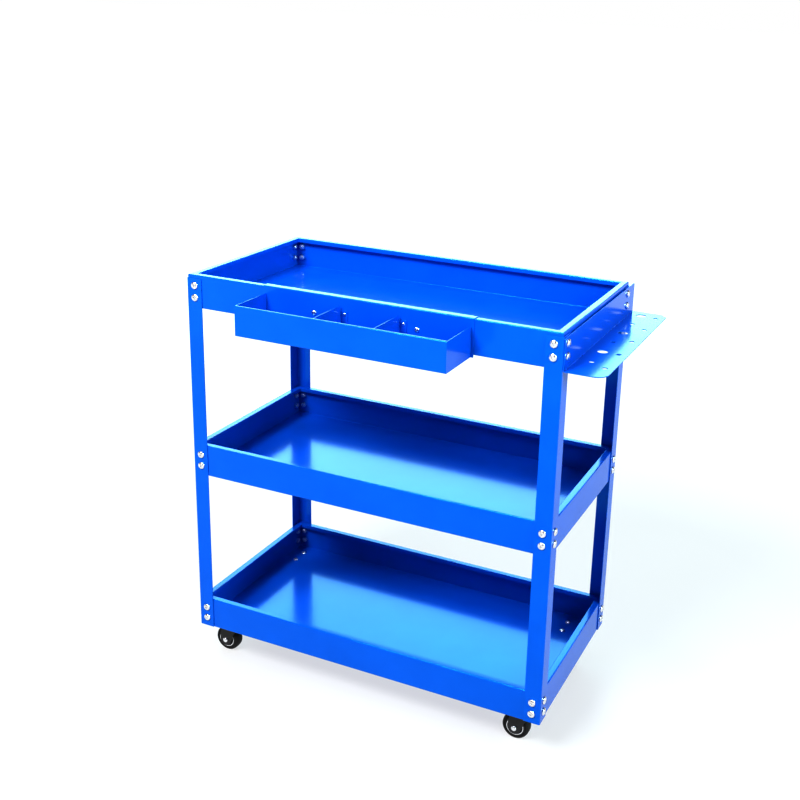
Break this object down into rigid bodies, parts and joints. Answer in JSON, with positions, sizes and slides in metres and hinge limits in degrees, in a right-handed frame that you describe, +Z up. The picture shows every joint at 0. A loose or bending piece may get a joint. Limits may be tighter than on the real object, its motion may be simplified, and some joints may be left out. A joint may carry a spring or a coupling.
{
  "type": "rolling tool cart",
  "caption": "Open rolling tool cart with stacked folded-steel trays on corner angles, a hung parts tray, a screwdriver rack and swivel casters.",
  "frame": {"origin": "middle of the whole cart's box, on the floor that the wheels stand on", "axes": "+X to the right seen from the front, +Y from the front to the back, +Z up"},
  "size_m": [0.7718, 0.482, 0.7723],
  "materials": {
    "blue_powder_coat": "glossy powder coat",
    "zinc_plated_steel": "bright zinc plate",
    "black_steel": "black satin",
    "black_plastic": "moulded, slight sheen",
    "black_rubber": "smooth rubber"
  },
  "bodies": {
    "cart": {"post_front_left": "blue_powder_coat", "post_front_right": "blue_powder_coat", "post_rear_right": "blue_powder_coat", "post_rear_left": "blue_powder_coat", "bottom_tray": "blue_powder_coat", "middle_tray": "blue_powder_coat", "top_tray": "blue_powder_coat", "parts_tray_body": "blue_powder_coat", "parts_tray_divider_left": "blue_powder_coat", "parts_tray_divider_right": "blue_powder_coat", "screwdriver_rack": "blue_powder_coat", "screw_front_left_face_upper": "zinc_plated_steel", "screw_front_left_face_lower": "zinc_plated_steel", "screw_front_left_side_upper": "zinc_plated_steel", "screw_front_left_side_lower": "zinc_plated_steel", "screw_front_right_face_upper": "zinc_plated_steel", "screw_front_right_face_lower": "zinc_plated_steel", "screw_front_right_side_upper": "zinc_plated_steel", "screw_front_right_side_lower": "zinc_plated_steel", "screw_rear_right_face_upper": "zinc_plated_steel", "screw_rear_right_face_lower": "zinc_plated_steel", "screw_rear_right_side_upper": "zinc_plated_steel", "screw_rear_right_side_lower": "zinc_plated_steel", "screw_rear_left_face_upper": "zinc_plated_steel", "screw_rear_left_face_lower": "zinc_plated_steel", "screw_rear_left_side_upper": "zinc_plated_steel", "screw_rear_left_side_lower": "zinc_plated_steel", "parts_tray_screw_left": "zinc_plated_steel", "parts_tray_screw_right": "zinc_plated_steel", "caster_front_left_plate": "black_steel", "caster_front_left_kingpin": "zinc_plated_steel", "caster_front_left_ball_race": "black_steel", "caster_front_right_plate": "black_steel", "caster_front_right_kingpin": "zinc_plated_steel", "caster_front_right_ball_race": "black_steel", "caster_rear_right_plate": "black_steel", "caster_rear_right_kingpin": "zinc_plated_steel", "caster_rear_right_ball_race": "black_steel", "caster_rear_left_plate": "black_steel", "caster_rear_left_kingpin": "zinc_plated_steel", "caster_rear_left_ball_race": "black_steel"},
    "front_left_fork": {"caster_front_left_fork": "black_steel", "caster_front_left_axle": "zinc_plated_steel"},
    "front_left_wheel": {"caster_front_left_hub": "black_plastic", "caster_front_left_tyre": "black_rubber"},
    "front_right_fork": {"caster_front_right_fork": "black_steel", "caster_front_right_axle": "zinc_plated_steel"},
    "front_right_wheel": {"caster_front_right_hub": "black_plastic", "caster_front_right_tyre": "black_rubber"},
    "rear_right_fork": {"caster_rear_right_fork": "black_steel", "caster_rear_right_axle": "zinc_plated_steel"},
    "rear_right_wheel": {"caster_rear_right_hub": "black_plastic", "caster_rear_right_tyre": "black_rubber"},
    "rear_left_fork": {"caster_rear_left_fork": "black_steel", "caster_rear_left_axle": "zinc_plated_steel"},
    "rear_left_wheel": {"caster_rear_left_hub": "black_plastic", "caster_rear_left_tyre": "black_rubber"}
  },
  "joints": [
    {"name": "front_left_swivel", "type": "hinge", "parent": "cart", "child": "front_left_fork", "pos_m": [-0.33715, -0.102, 0.059], "axis": [0, 0, 1], "continuous": true},
    {"name": "front_left_roll", "type": "hinge", "parent": "front_left_fork", "child": "front_left_wheel", "pos_m": [-0.34915, -0.102, 0.025], "axis": [0, 1, 0], "continuous": true},
    {"name": "front_right_swivel", "type": "hinge", "parent": "cart", "child": "front_right_fork", "pos_m": [0.27285, -0.102, 0.059], "axis": [0, 0, 1], "continuous": true},
    {"name": "front_right_roll", "type": "hinge", "parent": "front_right_fork", "child": "front_right_wheel", "pos_m": [0.26085, -0.102, 0.025], "axis": [0, 1, 0], "continuous": true},
    {"name": "rear_right_swivel", "type": "hinge", "parent": "cart", "child": "rear_right_fork", "pos_m": [0.27285, 0.166, 0.059], "axis": [0, 0, 1], "continuous": true},
    {"name": "rear_right_roll", "type": "hinge", "parent": "rear_right_fork", "child": "rear_right_wheel", "pos_m": [0.26085, 0.166, 0.025], "axis": [0, 1, 0], "continuous": true},
    {"name": "rear_left_swivel", "type": "hinge", "parent": "cart", "child": "rear_left_fork", "pos_m": [-0.33715, 0.166, 0.059], "axis": [0, 0, 1], "continuous": true},
    {"name": "rear_left_roll", "type": "hinge", "parent": "rear_left_fork", "child": "rear_left_wheel", "pos_m": [-0.34915, 0.166, 0.025], "axis": [0, 1, 0], "continuous": true}
  ]
}
